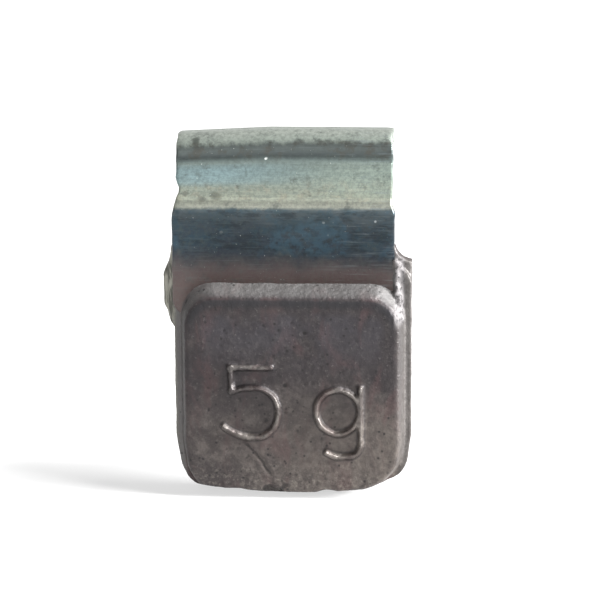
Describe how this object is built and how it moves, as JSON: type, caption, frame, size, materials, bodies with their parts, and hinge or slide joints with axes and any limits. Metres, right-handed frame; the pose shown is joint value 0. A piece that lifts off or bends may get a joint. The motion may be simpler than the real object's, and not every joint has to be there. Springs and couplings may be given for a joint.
{
  "type": "wheel balance weight",
  "caption": "Small cast balance weight with a bent spring clip that grips a wheel rim's flange.",
  "frame": {"origin": "where the edge of the rim flange seats against the inside of the clip's crest, midway across the clip's gap, in the casting's middle plane", "axes": "+Z points away from the wheel's centre, -Y faces whoever looks at the wheel, +X runs along the rim to the viewer's right"},
  "size_m": [0.0138, 0.0065, 0.0203],
  "materials": {
    "cast_lead": "dull grey brown cast lead alloy, as cast, with small pits, flash and stains",
    "plated_spring_steel": "zinc plated and passivated spring steel, bluish green to straw, heat tinted brown next to the casting"
  },
  "bodies": {
    "root": {"weight_body": "cast_lead", "clip": "plated_spring_steel"}
  },
  "joints": []
}
